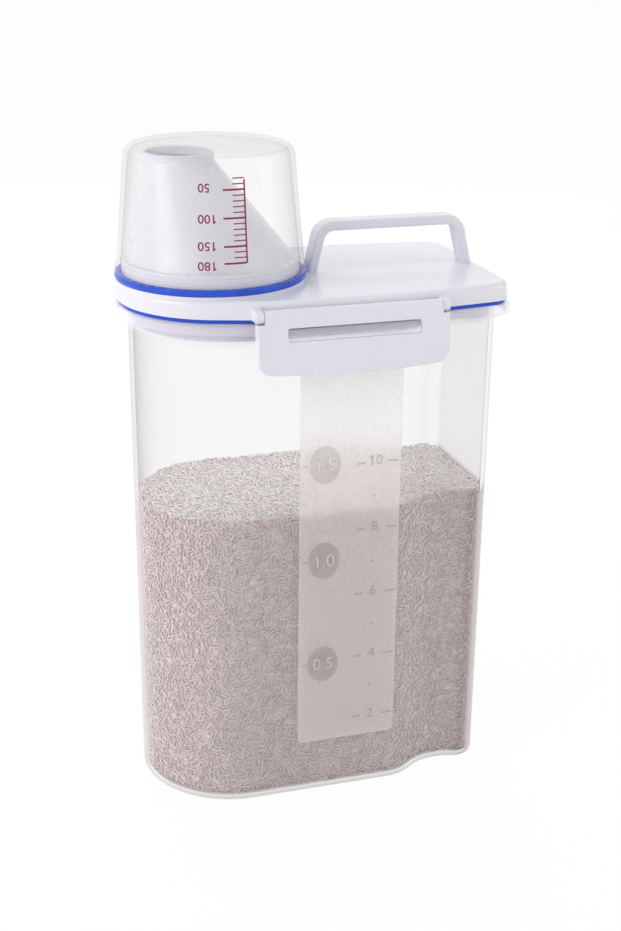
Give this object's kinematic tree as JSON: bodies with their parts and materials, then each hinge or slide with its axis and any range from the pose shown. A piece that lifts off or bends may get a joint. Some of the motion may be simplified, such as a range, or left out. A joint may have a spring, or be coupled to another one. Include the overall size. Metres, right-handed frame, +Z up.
{
  "type": "rice storage container",
  "caption": "Tall clear grain keeper with a waisted grip end, a latched lid with carrying handle, and an upturned measuring cup that covers a leaning pouring spout.",
  "frame": {"origin": "on the surface that the container stands on, under the middle of its overall box", "axes": "+Z up, +X from the pouring end to the grip end, -Y towards the side with the level strip"},
  "size_m": [0.169, 0.1174, 0.299],
  "materials": {
    "clear_wall": "clear moulded plastic",
    "frosted_print": "frosted print film",
    "white_lid": "glossy moulded",
    "blue_seal": "satin silicone",
    "white_spout": "satin moulded",
    "clear_cup": "clear moulded plastic",
    "white_handle": "satin moulded",
    "white_latch": "satin moulded"
  },
  "bodies": {
    "container": {"container_body": "clear_wall", "scale_strip": "frosted_print"},
    "lid_assembly": {"lid": "white_lid", "lid_gasket": "blue_seal", "pouring_spout": "white_spout", "cup_gasket": "blue_seal", "carry_handle": "white_handle"},
    "cup": {"measuring_cup": "clear_cup"},
    "latch_front": {"front_latch": "white_latch"},
    "latch_rear": {"rear_latch": "white_latch"}
  },
  "joints": [
    {"name": "lid_lift", "type": "slide", "parent": "container", "child": "lid_assembly", "axis": [0, 0, 1], "range_m": [0, 0.09]},
    {"name": "cup_lift", "type": "slide", "parent": "lid_assembly", "child": "cup", "axis": [0, 0, 1], "range_m": [0, 0.075]},
    {"name": "front_latch_hinge", "type": "hinge", "parent": "lid_assembly", "child": "latch_front", "pos_m": [0.006, -0.0542, 0.2355], "axis": [-1, 0, 0], "range_deg": [-4, 111]},
    {"name": "rear_latch_hinge", "type": "hinge", "parent": "lid_assembly", "child": "latch_rear", "pos_m": [0.006, 0.0542, 0.2355], "axis": [1, 0, 0], "range_deg": [-4, 111]}
  ]
}
